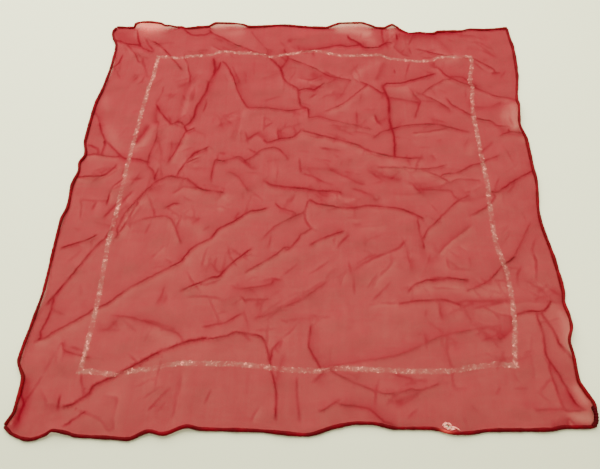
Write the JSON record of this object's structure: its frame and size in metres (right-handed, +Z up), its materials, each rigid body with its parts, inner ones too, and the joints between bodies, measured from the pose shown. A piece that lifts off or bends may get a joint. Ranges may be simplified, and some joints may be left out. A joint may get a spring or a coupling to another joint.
{
  "type": "square scarf",
  "caption": "Sheer woven square scarf with fine rolled hems, laid out open and lightly rumpled, its edge lifted here and there and a small tear beside one hem.",
  "frame": {"origin": "on the surface that the scarf lies on, under the middle of its box", "axes": "+X along the near side to the right, +Y towards the far side, +Z up from the surface"},
  "size_m": [0.6602, 0.6724, 0.014],
  "materials": {
    "sheer_cloth": "sheer plain weave, soft and matt, with a printed pale border",
    "rolled_hem": "tightly rolled cloth, matt"
  },
  "bodies": {
    "root": {"cloth_panel": "sheer_cloth", "hem_near": "rolled_hem", "hem_right": "rolled_hem", "hem_far": "rolled_hem", "hem_left": "rolled_hem"}
  },
  "joints": []
}
